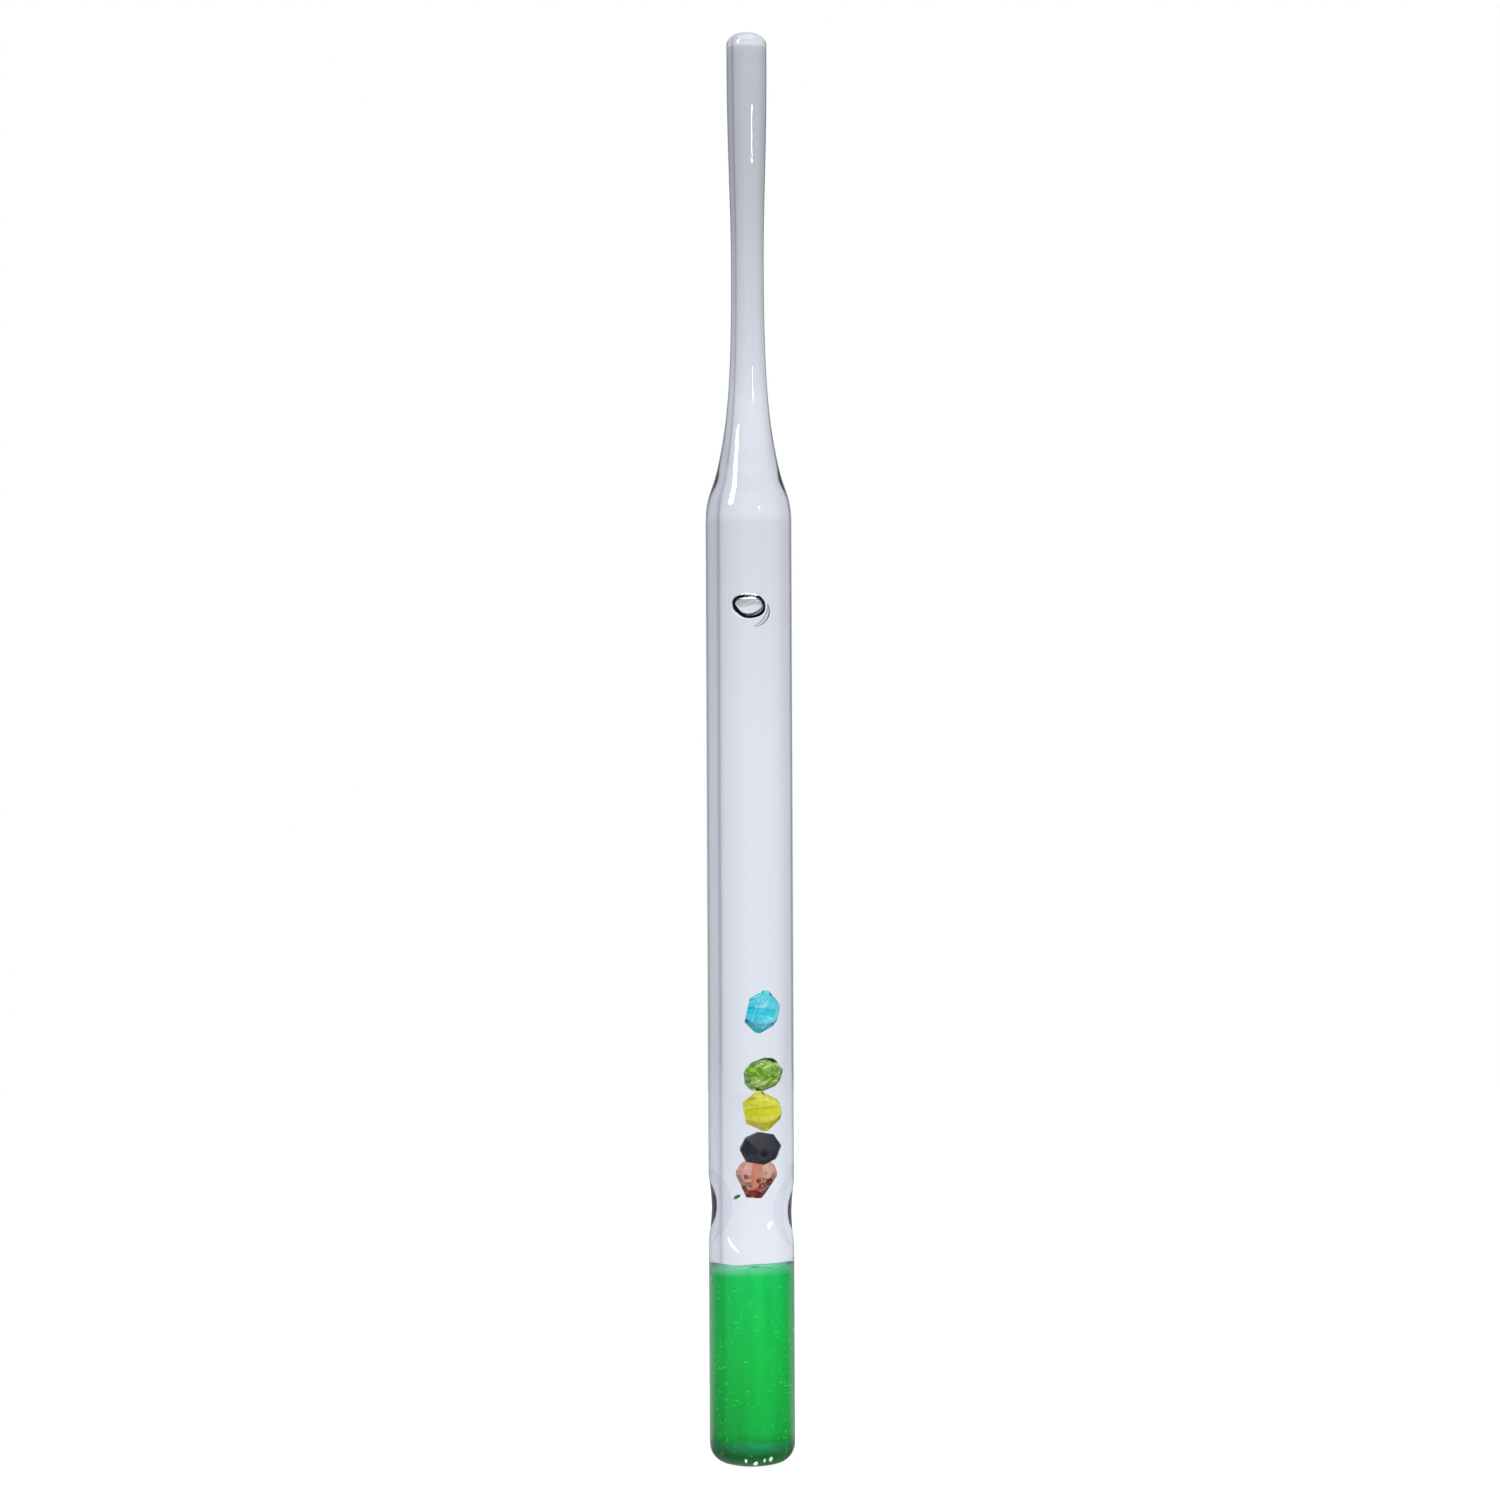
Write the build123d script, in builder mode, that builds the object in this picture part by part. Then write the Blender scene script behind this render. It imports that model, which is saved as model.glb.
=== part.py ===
"""Sealed bead thermometer of the Galileo kind: a drawn glass tube, 200 x 12 mm, filled with clear liquid.

Five faceted beads of slightly different density rise and sink in the liquid as it cools and warms. Two
dents pressed into the wall keep them off the green resin ballast in the closed end. Millimetres, +Z up
along the tube, origin on the axis at the outside of the closed end. The front is -Y.
"""

import os
from math import cos, radians, sin, sqrt

from build123d import *

os.makedirs("parts", exist_ok=True)

# ---- glass envelope --------------------------------------------------------------------------------

LENGTH = 200.0
BODY_R = 6.0
WAIST_R = 2.3  # thinnest place of the drawn stem
TIP_R = 2.8  # the stem swells again towards its fused tip
SHOULDER_Z = 131.5  # the straight body ends here
WAIST_Z = 168.0
SWELL_Z = 195.0
TIP_ROUND = 1.8
# the shoulder's line: height above the straight body, and the share of the narrowing reached there
SHOULDER = [(3.2, 0.095), (6.0, 0.34), (8.8, 0.53), (14.3, 0.775), (22.7, 0.945)]
SWELL_HALFWAY = 0.56

BODY_WALL = 1.0
STEM_WALL = 0.7
TIP_WALL = 1.2

# the closed end: a small flat, a wide arc and a tight one into the straight wall
BASE_FLAT_R = 1.5
BASE_CROWN_R = 14.0
BASE_KNUCKLE_R = 2.8
BASE_WALL = 1.3
CROWN_Z = sqrt(BASE_CROWN_R**2 - BASE_FLAT_R**2)  # centre of the wide arc

# ---- the two dents that hold the beads up ----------------------------------------------------------

DENTS = {-1: (2.7, 36.3), 1: (2.5, 35.5)}  # depth and height, by side, -1 at -X
DENT_HALF_WIDTH = 2.6
DENT_HALF_HEIGHT = 4.4
DENT_TURN = 12.0  # degrees that both dents sit behind the widest line of the tube
DENT_WALL = 1.5  # the glass bunches up where it is pressed in
DENT_LIP = 0.6

# ---- resin, bubble and crumb -----------------------------------------------------------------------

PLUG_TOP = 27.7
POCKET_X = 1.0  # lens of air that the resin trapped against the glass floor when it was poured
POCKET_HEIGHT = 0.9
POCKET_CURVE_R = 6.0

BUBBLE_R = 1.8  # left in the liquid when the tip was fused
BUBBLE_Z = 119.8
BUBBLE_FILM = 0.1  # liquid between the bubble and the front wall


# ---- beads -----------------------------------------------------------------------------------------

HOLE_R = 0.5
BELT = 0.5  # height of the narrow band round the girdle
FILM = 0.05  # liquid between a bead and the solid liquid around it

# rings of facets on each cut: height as a share of the length, diameter as a share of the girdle; the two
# girdle rings go in the middle, and the ends that aren't listed have the bead's own end diameter
CUTS = {
    "bicone": [(-0.5, None), (0.5, None)],
    "round": [(-0.5, None), (-0.31, 0.83), (0.31, 0.83), (0.5, None)],
    "drop": [(-0.62, None), (-0.51, 0.5), (0.24, 0.83), (0.38, 0.5)],
}


def along(down, to_front=0.0):
    """Direction of a threading hole: along +X, turned down and then to the front, in degrees."""
    level = cos(radians(down))
    return (level * cos(radians(to_front)), -level * sin(radians(to_front)), -sin(radians(down)))


BEADS = {
    # name: (cut, sides, centre, hole direction, girdle diameter, length, end diameter)
    "bead_blue": ("bicone", 6, (1.2, -1.4, 63.4), along(9), 6.0, 3.2, 3.4),
    "bead_green": ("round", 8, (1.3, -1.5, 54.7), along(28, 20), 5.0, 3.6, 2.2),
    "bead_yellow": ("bicone", 6, (1.15, -1.45, 49.6), along(-8), 5.6, 3.8, 2.9),
    "bead_black": ("round", 8, (1.05, -2.2, 44.5), along(22, 68), 4.9, 3.6, 2.2),
    "bead_red": ("drop", 6, (0.5, 0.3, 40.8), along(-86), 3.9, 5.4, 1.5),
}

# crumb of resin that came loose from the ballast, described as a bead is
FLECK = ("bicone", 5, (-1.85, -4.1, 37.9), along(-30), 0.55, 1.0, 0.25)


# ---- shapes that more than one piece uses ----------------------------------------------------------


def vessel_outline(body_r, waist_r, tip_r, crown_r, flat_r, roof):
    """Half of a closed tube's outline: rounded base, straight body, shoulder, stem and tip."""
    knuckle_r = BASE_KNUCKLE_R - (BODY_R - body_r)
    knuckle_x = body_r - knuckle_r
    knuckle_z = CROWN_Z - sqrt((crown_r - knuckle_r) ** 2 - knuckle_x**2)
    floor = CROWN_Z - sqrt(crown_r**2 - flat_r**2)
    reach = crown_r / (crown_r - knuckle_r)
    crown_end = (knuckle_x * reach, CROWN_Z - (CROWN_Z - knuckle_z) * reach)
    crown_mid_x = (flat_r + crown_end[0]) / 2
    crown_mid = (crown_mid_x, CROWN_Z - sqrt(crown_r**2 - crown_mid_x**2))
    shoulder = [(body_r - (body_r - waist_r) * s, SHOULDER_Z + h) for h, s in SHOULDER]
    swell = (waist_r + (tip_r - waist_r) * SWELL_HALFWAY, (WAIST_Z + SWELL_Z) / 2)
    up = [(0, 1), (0, 1)]
    with BuildSketch(Plane.XZ) as outline:
        with BuildLine():
            if flat_r:
                Line((0, floor), (flat_r, floor))
            crown = ThreePointArc((flat_r, floor), crown_mid, crown_end)
            TangentArc(crown @ 1, (body_r, knuckle_z), tangent=crown % 1)
            Line((body_r, knuckle_z), (body_r, SHOULDER_Z))
            Spline((body_r, SHOULDER_Z), *shoulder, (waist_r, WAIST_Z), tangents=up)
            Spline((waist_r, WAIST_Z), swell, (tip_r, SWELL_Z), tangents=up)
            Line((tip_r, SWELL_Z), (tip_r, roof - TIP_ROUND))
            Spline(
                (tip_r, roof - TIP_ROUND),
                (0.8 * tip_r, roof - TIP_ROUND / 3),
                (0, roof),
                tangents=[(0, 1), (-1, 0)],
            )
            Line((0, roof), (0, floor))
        make_face()
    return outline.sketch


def egg(centre, half_width, half_height):
    """Takes away an egg shape, turned about its own upright axis."""
    with BuildSketch(Plane(origin=centre, x_dir=(1, 0, 0), z_dir=(0, -1, 0))) as half_outline:
        Ellipse(half_width, half_height)
        Rectangle(
            2 * half_width,
            2 * half_height,
            align=(Align.MAX, Align.CENTER),
            mode=Mode.SUBTRACT,
        )
    revolve(half_outline.sketch, axis=Axis(centre, (0, 0, 1)), mode=Mode.SUBTRACT)


def press_dents(growth):
    """Both dents as the pressing tool leaves them, with the tool grown by a wall of glass."""
    for side, (depth, height) in DENTS.items():
        reach = BODY_R - depth + DENT_HALF_WIDTH
        turned = radians(DENT_TURN)
        centre = (side * reach * cos(turned), reach * sin(turned), height)
        egg(centre, DENT_HALF_WIDTH + growth, DENT_HALF_HEIGHT + growth)
        fillet(edges(Select.LAST), DENT_LIP)


def bead_blank(cut, sides, centre, hole, girdle, length, end, film=0.0, mode=Mode.ADD):
    """A faceted bead without its hole: rings of flat facets between two end faces."""
    rings = [(at * length, girdle * share if share else end) for at, share in CUTS[cut]]
    rings = sorted([*rings, (-BELT / 2, girdle), (BELT / 2, girdle)])
    square = Plane(origin=centre, z_dir=hole)
    facets = []
    for height, diameter in rings:
        grown = height + film * (1 if height > 0 else -1)
        with BuildSketch(square.offset(grown)) as ring:
            RegularPolygon(diameter / 2 + film, sides)
        facets.append(ring.sketch)
    loft(facets, ruled=True, mode=mode)


# ---- the space inside the glass, which the liquid and the resin share ------------------------------

BORE_OUTLINE = vessel_outline(
    BODY_R - BODY_WALL,
    WAIST_R - STEM_WALL,
    TIP_R - STEM_WALL,
    BASE_CROWN_R - BASE_WALL,
    0,
    LENGTH - TIP_WALL,
)

with BuildPart() as bore:
    revolve(BORE_OUTLINE, axis=Axis.Z)
    press_dents(DENT_WALL)

# ---- glass envelope: one piece of glass, drawn, dented and fused shut at the tip --------------------

SKIN_OUTLINE = vessel_outline(BODY_R, WAIST_R, TIP_R, BASE_CROWN_R, BASE_FLAT_R, LENGTH)

with BuildPart() as glass_envelope:
    revolve(SKIN_OUTLINE, axis=Axis.Z)
    press_dents(0)
    add(bore.part, mode=Mode.SUBTRACT)

glass_envelope.part.label = "glass_envelope"
export_step(glass_envelope.part, "parts/glass_envelope.step")

# ---- ballast: green casting resin, set in the closed end -------------------------------------------

with BuildPart() as ballast_plug:
    add(bore.part)
    split(bisect_by=Plane.XY.offset(PLUG_TOP), keep=Keep.BOTTOM)
    floor = CROWN_Z - BASE_CROWN_R + BASE_WALL
    with Locations((POCKET_X, 0, floor + POCKET_HEIGHT - POCKET_CURVE_R)):
        Sphere(POCKET_CURVE_R, mode=Mode.SUBTRACT)

ballast_plug.part.label = "ballast_plug"
export_step(ballast_plug.part, "parts/ballast_plug.step")

# ---- beads: each is threaded-bead glass, ground to its own density ---------------------------------

for name, bead_cut in BEADS.items():
    with BuildPart() as bead:
        bead_blank(*bead_cut)
        with Locations(Plane(origin=bead_cut[2], z_dir=bead_cut[3])):
            Cylinder(HOLE_R, 2 * bead_cut[5], mode=Mode.SUBTRACT)
    bead.part.label = name
    export_step(bead.part, f"parts/{name}.step")

# ---- crumb of resin on the inside of the front wall ------------------------------------------------

with BuildPart() as resin_fleck:
    bead_blank(*FLECK)

resin_fleck.part.label = "resin_fleck"
export_step(resin_fleck.part, "parts/resin_fleck.step")

# ---- liquid: fills the bore above the resin, round the beads, the crumb and one bubble --------------

with BuildPart() as liquid_fill:
    add(bore.part)
    split(bisect_by=Plane.XY.offset(PLUG_TOP), keep=Keep.TOP)
    for solid_cut in (*BEADS.values(), FLECK):
        bead_blank(*solid_cut, film=FILM, mode=Mode.SUBTRACT)
    with Locations((0, BUBBLE_FILM + BUBBLE_R + BODY_WALL - BODY_R, BUBBLE_Z)):
        Sphere(BUBBLE_R, mode=Mode.SUBTRACT)

liquid_fill.part.label = "liquid_fill"
export_step(liquid_fill.part, "parts/liquid_fill.step")
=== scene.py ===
# %% [markdown]
# # A sealed bead thermometer
# The real object is one glass tube, drawn to a stem and fused shut. Clear liquid, five drilled beads
# and a plug of green resin are inside. In Blender the glass, the liquid and the resin each have to be a
# closed skin, because a ray bends at every skin that it crosses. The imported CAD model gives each
# piece's place and size, and this script gives them their finish.

# %% Load the frame
import math

import bmesh
import bpy
import numpy as np
from mathutils import Matrix, Vector


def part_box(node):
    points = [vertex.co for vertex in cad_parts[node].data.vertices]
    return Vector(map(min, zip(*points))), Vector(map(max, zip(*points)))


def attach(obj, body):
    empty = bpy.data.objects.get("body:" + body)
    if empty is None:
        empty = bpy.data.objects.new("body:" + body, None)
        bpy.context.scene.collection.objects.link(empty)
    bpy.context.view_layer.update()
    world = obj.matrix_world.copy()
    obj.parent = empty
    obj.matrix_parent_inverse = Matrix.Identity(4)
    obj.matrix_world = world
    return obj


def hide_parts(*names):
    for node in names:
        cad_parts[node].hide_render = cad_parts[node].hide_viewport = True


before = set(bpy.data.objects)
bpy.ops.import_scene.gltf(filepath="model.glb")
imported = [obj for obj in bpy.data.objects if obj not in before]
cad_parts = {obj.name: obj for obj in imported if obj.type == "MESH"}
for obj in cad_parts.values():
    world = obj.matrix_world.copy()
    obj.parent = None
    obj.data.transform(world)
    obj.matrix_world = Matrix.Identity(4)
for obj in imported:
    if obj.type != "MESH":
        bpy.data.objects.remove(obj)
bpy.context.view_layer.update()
MM = 0.001
print("CAD nodes:", sorted(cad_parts))

# %% Sizes read from the frame
glass_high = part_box("glass_envelope")[1]
liquid_low, liquid_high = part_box("liquid_fill")
LENGTH = glass_high.z
BODY_R = glass_high.x
BORE_R = liquid_high.x
PLUG_TOP = liquid_low.z
print(f"tube {LENGTH / MM:.0f} mm long, {2 * BODY_R / MM:.1f} mm across, bore {2 * BORE_R / MM:.1f} mm")

# %% [markdown]
# ## Camera first
# The tube is seen square on from its front, from far enough that it hardly tapers. A long lens at
# about half a metre does that. It is rolled by a quarter of a degree, so the tube stands a hair askew.

# %% Camera
VIEW_WIDTH = 1.0475 * LENGTH
CAMERA_FAR = 2.75 * LENGTH
CAMERA_ROLL = math.radians(-0.25)
SENSOR = 36.0

camera_data = bpy.data.cameras.new("studio_camera")
camera = bpy.data.objects.new("studio_camera", camera_data)
bpy.context.scene.collection.objects.link(camera)
camera_data.sensor_width = SENSOR
camera_data.lens = SENSOR * CAMERA_FAR / VIEW_WIDTH
camera_data.clip_start = 0.01
camera.location = (0.00008, -CAMERA_FAR, 0.499 * LENGTH)
upright = Matrix.Rotation(math.radians(90), 4, "X")
camera.rotation_euler = (upright @ Matrix.Rotation(CAMERA_ROLL, 4, "Z")).to_euler()
bpy.context.scene.camera = camera
print(f"lens {camera_data.lens:.0f} mm at {CAMERA_FAR:.2f} m")

# %% [markdown]
# ## Light
# Clear glass has hardly any colour of its own. It shows what is around it, bent and mirrored. So the
# surroundings are a cool pale grey with darker flanks, which give the thin dark edges, while the
# backdrop behind stays white. A few small softboxes are only there to be mirrored in the glass.

# %% World
ROOM_RAMP = [
    # degrees from straight ahead, to the left below zero; brightness
    (-180, 0.46),
    (-120, 0.40),
    (-96, 0.12),
    (-72, 0.10),
    (-58, 0.74),
    (-40, 0.82),
    (-26, 0.91),
    (0, 0.92),
    (22, 0.82),
    (28, 0.74),
    (31, 0.46),
    (34, 0.56),
    (38, 0.70),
    (56, 0.66),
    (72, 0.12),
    (96, 0.12),
    (120, 0.40),
    (180, 0.46),
]
ROOM_TINT = (0.93, 0.96, 1.04)


def room_tone():
    """A node group: the room's colour in a direction, from its turn about the upright axis."""
    tree = bpy.data.node_groups.new("room_tone", "ShaderNodeTree")
    tree.interface.new_socket("Direction", in_out="INPUT", socket_type="NodeSocketVector")
    tree.interface.new_socket("Color", in_out="OUTPUT", socket_type="NodeSocketColor")
    add, link = tree.nodes.new, tree.links.new
    given, result = add("NodeGroupInput"), add("NodeGroupOutput")
    split = add("ShaderNodeSeparateXYZ")
    turn = add("ShaderNodeMath")
    turn.operation = "ARCTAN2"
    share = add("ShaderNodeMapRange")
    share.inputs["From Min"].default_value = -math.pi
    share.inputs["From Max"].default_value = math.pi
    ramp = add("ShaderNodeValToRGB")
    stops = ramp.color_ramp.elements
    stops[0].position, stops[1].position = 0.0, 1.0
    for degrees, level in ROOM_RAMP[1:-1]:
        stops.new((degrees + 180) / 360).color = (*(level * c for c in ROOM_TINT), 1)
    stops[0].color = (*(ROOM_RAMP[0][1] * c for c in ROOM_TINT), 1)
    stops[len(stops) - 1].color = (*(ROOM_RAMP[-1][1] * c for c in ROOM_TINT), 1)
    link(given.outputs["Direction"], split.inputs[0])
    link(split.outputs["X"], turn.inputs[0])
    link(split.outputs["Y"], turn.inputs[1])
    link(turn.outputs[0], share.inputs["Value"])
    link(share.outputs[0], ramp.inputs["Fac"])
    link(ramp.outputs["Color"], result.inputs["Color"])
    return tree


ROOM = room_tone()
world = bpy.data.worlds.new("studio")
bpy.context.scene.world = world
world.use_nodes = True
nodes, links = world.node_tree.nodes, world.node_tree.links
nodes.clear()
direction = nodes.new("ShaderNodeTexCoord")
split = nodes.new("ShaderNodeSeparateXYZ")
tone = nodes.new("ShaderNodeGroup")
tone.node_tree = ROOM
lift = nodes.new("ShaderNodeMapRange")
lift.inputs["From Min"].default_value = 0.0
lift.inputs["From Max"].default_value = 0.20
lift.inputs["To Min"].default_value = 0.95
lift.inputs["To Max"].default_value = 0.61
room = nodes.new("ShaderNodeBackground")
backdrop = nodes.new("ShaderNodeBackground")
backdrop.inputs["Color"].default_value = (1, 1, 1, 1)
seen = nodes.new("ShaderNodeLightPath")
choose = nodes.new("ShaderNodeMixShader")
output = nodes.new("ShaderNodeOutputWorld")
links.new(direction.outputs["Generated"], split.inputs[0])
links.new(direction.outputs["Generated"], tone.inputs["Direction"])
links.new(split.outputs["Z"], lift.inputs["Value"])
links.new(lift.outputs[0], room.inputs["Strength"])
links.new(tone.outputs["Color"], room.inputs["Color"])
links.new(seen.outputs["Is Camera Ray"], choose.inputs["Fac"])
links.new(room.outputs[0], choose.inputs[1])
links.new(backdrop.outputs[0], choose.inputs[2])
links.new(choose.outputs[0], output.inputs["Surface"])
bpy.context.scene.view_settings.view_transform = "Standard"
print(f"room of {len(ROOM_RAMP)} tones")

# %% [markdown]
# ## Lamps and floor
# The lamps are seen only as glints. The floor glows in the room's tone, painted light, so that from the
# front no horizon shows through the tube. From the back and the sides one still may. To the camera it
# glows near white, painted light that also hides its contact shadow.

# %% Softboxes
def softbox(name, aim, azimuth, elevation, distance, width, height, power):
    """An area lamp that faces a height on the tube. Azimuth 0 is behind the camera, and goes right."""
    data = bpy.data.lights.new(name, "AREA")
    data.shape = "RECTANGLE"
    data.size, data.size_y = width, height
    data.energy = power
    lamp = bpy.data.objects.new(name, data)
    a, e = math.radians(azimuth), math.radians(elevation)
    away = Vector((math.sin(a) * math.cos(e), -math.cos(a) * math.cos(e), math.sin(e)))
    lamp.location = Vector((0, 0, aim)) + away * distance
    lamp.rotation_euler = away.to_track_quat("Z", "Y").to_euler()
    bpy.context.scene.collection.objects.link(lamp)
    return lamp


softbox("overhead_softbox", 0.10, 0, 80, 0.9, 0.9, 0.9, 7.0)
softbox("shoulder_softbox", 0.14, -52, 30, 0.7, 0.15, 0.27, 7.0)
softbox("stem_strip", 0.183, 30, 6.9, 0.3, 0.016, 0.02, 0.13)
print(len(bpy.data.lights), "lamps")

# %% Floor
FLOOR_SIDE = 1.2
floor_mesh = bpy.data.meshes.new("floor")
half_side = FLOOR_SIDE / 2
floor_mesh.from_pydata(
    [(x * half_side, y * half_side, 0) for x, y in ((-1, -1), (1, -1), (1, 1), (-1, 1))],
    [],
    [(0, 1, 2, 3)],
)
floor = bpy.data.objects.new("floor", floor_mesh)
bpy.context.scene.collection.objects.link(floor)

floor_paint = bpy.data.materials.new("pale_floor")
floor_paint.use_nodes = True
nodes, links = floor_paint.node_tree.nodes, floor_paint.node_tree.links
paint = nodes["Principled BSDF"]
paint.inputs["Base Color"].default_value = (0.20, 0.205, 0.22, 1)
paint.inputs["Roughness"].default_value = 0.9
paint.inputs["Specular IOR Level"].default_value = 0.1
where = nodes.new("ShaderNodeTexCoord")
tone = nodes.new("ShaderNodeGroup")
tone.node_tree = ROOM
seen = nodes.new("ShaderNodeLightPath")
# painted light: the floor glows near white to the camera and in the room's tone to every other ray
pale = nodes.new("ShaderNodeMix")
pale.data_type = "RGBA"
pale.inputs["B"].default_value = (1, 1, 1, 1)
glow = nodes.new("ShaderNodeEmission")
strength = nodes.new("ShaderNodeMapRange")
strength.inputs["To Min"].default_value = 0.72
strength.inputs["To Max"].default_value = 0.95
both = nodes.new("ShaderNodeAddShader")
links.new(where.outputs["Object"], tone.inputs["Direction"])
links.new(tone.outputs["Color"], pale.inputs["A"])
links.new(seen.outputs["Is Camera Ray"], pale.inputs["Factor"])
links.new(pale.outputs["Result"], glow.inputs["Color"])
links.new(seen.outputs["Is Camera Ray"], strength.inputs["Value"])
links.new(strength.outputs[0], glow.inputs["Strength"])
links.new(paint.outputs[0], both.inputs[0])
links.new(glow.outputs[0], both.inputs[1])
links.new(both.outputs[0], nodes["Material Output"].inputs["Surface"])
floor.data.materials.append(floor_paint)
print("floor", FLOOR_SIDE, "m square")

# %% [markdown]
# ## The tube's outline
# The maker starts from stock tube, closes one end in a flame and draws the other to a stem. Both walls,
# the skin and the bore, follow one rule with different sizes: a shallow dome, a tight knuckle, the
# straight body, a soft shoulder, a waist, a slight swell and a round fused tip. The wall is thinner in
# the stem, because the glass was stretched there, and thicker at the tip, where it was melted.

# %% Outline rule
SHOULDER_Z = 131.5
WAIST_Z = 168.0
SWELL_Z = 195.0
TIP_ROUND = 1.8
SWELL_HALFWAY = 0.56
BODY, BORE_MM, WAIST, TIP, TOP = 6.0, 5.0, 2.3, 2.8, 200.0
STEM_WALL, TIP_WALL, FLOOR_WALL = 0.7, 1.2, 1.3
SHOULDER = [(3.2, 0.095), (6.0, 0.34), (8.8, 0.53), (14.3, 0.775), (22.7, 0.945)]
CROWN_R, CROWN_Z, FLAT_R, KNUCKLE_R = 14.0, 13.919, 1.5, 2.8
FINE_FROM, FINE_TO, FINE_STEP = 28.6, 43.4, 0.18
SEGMENTS = 128


def spline(knots, values, at):
    """A smooth curve through the knots that is upright at both ends."""
    knots, values = np.array(knots, float), np.array(values, float)
    gaps = np.diff(knots)
    count = len(knots)
    system, wanted = np.eye(count), np.zeros(count)
    for i in range(1, count - 1):
        system[i, i - 1 : i + 2] = 1 / gaps[i - 1], 2 * (1 / gaps[i - 1] + 1 / gaps[i]), 1 / gaps[i]
        rise = np.diff(values)[i - 1 : i + 1]
        wanted[i] = 3 * (rise[0] / gaps[i - 1] ** 2 + rise[1] / gaps[i] ** 2)
    slopes = np.linalg.solve(system, wanted)
    span = np.clip(np.searchsorted(knots, at) - 1, 0, count - 2)
    t = (at - knots[span]) / gaps[span]
    a, b = values[span], values[span + 1]
    p, q = slopes[span] * gaps[span], slopes[span + 1] * gaps[span]
    blend = a * (2 * t**3 - 3 * t**2 + 1) + b * (3 * t**2 - 2 * t**3)
    return blend + p * (t**3 - 2 * t**2 + t) + q * (t**3 - t**2)


def outline(body_r, waist_r, tip_r, crown_r, flat_r, roof):
    """(radius, height) pairs in mm, from the bottom of a closed tube to its top."""
    knuckle_r = KNUCKLE_R - (BODY - body_r)
    knuckle_x = body_r - knuckle_r
    knuckle_z = CROWN_Z - math.sqrt((crown_r - knuckle_r) ** 2 - knuckle_x**2)
    turn_at = math.asin(knuckle_x / (crown_r - knuckle_r))
    crown = np.linspace(math.asin(flat_r / crown_r), turn_at, 14)
    knuckle = np.linspace(turn_at, math.pi / 2, 14)[1:]
    heights = [np.arange(knuckle_z + 0.9, FINE_FROM, 0.9), np.arange(FINE_FROM, FINE_TO, FINE_STEP)]
    heights += [np.linspace(FINE_TO, SHOULDER_Z, 50), np.linspace(SHOULDER_Z, WAIST_Z, 66)[1:]]
    heights += [np.linspace(WAIST_Z, SWELL_Z, 32)[1:], np.linspace(SWELL_Z, roof - TIP_ROUND, 6)[1:]]
    z = np.concatenate(heights)
    shoulder_z = [SHOULDER_Z, *(SHOULDER_Z + h for h, _ in SHOULDER), WAIST_Z]
    shoulder_r = [body_r, *(body_r - (body_r - waist_r) * s for _, s in SHOULDER), waist_r]
    swell_r = [waist_r, waist_r + SWELL_HALFWAY * (tip_r - waist_r), tip_r]
    r = np.full_like(z, body_r)
    r = np.where(z > SHOULDER_Z, spline(shoulder_z, shoulder_r, z), r)
    r = np.where(z > WAIST_Z, spline([WAIST_Z, (WAIST_Z + SWELL_Z) / 2, SWELL_Z], swell_r, z), r)
    r = np.where(z > SWELL_Z, tip_r, r)
    dome = np.linspace(0, math.pi / 2, 12)[1:]
    r = [crown_r * np.sin(crown), knuckle_x + knuckle_r * np.sin(knuckle), r, tip_r * np.cos(dome) ** 0.93]
    z = [CROWN_Z - crown_r * np.cos(crown), knuckle_z - knuckle_r * np.cos(knuckle), z]
    z.append(roof - TIP_ROUND + TIP_ROUND * np.sin(dome))
    r, z = np.concatenate(r), np.concatenate(z)
    return np.maximum(r, 0), z


SKIN = outline(BODY, WAIST, TIP, CROWN_R, FLAT_R, TOP)
BORE = outline(BORE_MM, WAIST - STEM_WALL, TIP - STEM_WALL, CROWN_R - FLOOR_WALL, 0.0, TOP - TIP_WALL)
print(f"skin {len(SKIN[0])} rings, bore {len(BORE[0])} rings")

# %% [markdown]
# ## The two dents
# They are pressed in from both sides with a hot tool, to keep the beads up. These two don't do that:
# the bore stays open in front of them, wide enough for every bead, and only the joints hold the beads.
# From the front the tube's edge hardly changes, as the dents sit inside it; only dark crescents show.
# An egg-shaped tool takes away from the radius, and the lip is softened as fire-polished glass is.

# %% Dents as a rule on the radius
# direction in degrees from +X, depth and height in mm
DENT_TURN = 12.0
DENTS = [(180.0 - DENT_TURN, 2.7, 36.3), (DENT_TURN, 2.5, 35.5)]
DENT_W, DENT_H, DENT_WALL = 2.6, 4.4, 1.5


def dented(r, z, growth, soft=1.3):
    """A grid of radii, ring by ring and segment by segment, with both dents pressed in."""
    around = np.arange(SEGMENTS) * 2 * math.pi / SEGMENTS
    grid = np.repeat(r[:, None], SEGMENTS, axis=1)
    for degrees, depth, middle in DENTS:
        reach = BODY - depth + DENT_W
        off = np.angle(np.exp(1j * (around - math.radians(degrees))))[None, :]
        inside = np.clip(1 - ((z - middle) / (DENT_H + growth)) ** 2, 0, 1)[:, None]
        width = (DENT_W + growth) * np.sqrt(inside)
        aside = np.abs(reach * np.sin(off))
        near = reach * np.cos(off) - np.sqrt(np.clip(width**2 - aside**2, 0, None))
        near = near + 3.0 * np.clip(aside - width, 0, None)
        near = np.where((inside > 0) & (np.cos(off) > 0), near, 99.0)
        grid = np.minimum(grid, near)
    kernel = np.exp(-0.5 * (np.arange(-5, 6) / soft) ** 2)
    kernel /= kernel.sum()
    fine = (z > FINE_FROM - 0.05) & (z < FINE_TO - 0.05)
    block = grid[fine]
    rows = np.pad(block, ((5, 5), (0, 0)), mode="edge")
    block = sum(k * rows[i : i + len(block)] for i, k in enumerate(kernel))
    block = sum(k * np.roll(block, i - 5, axis=1) for i, k in enumerate(kernel))
    grid[fine] = block
    return grid


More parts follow.
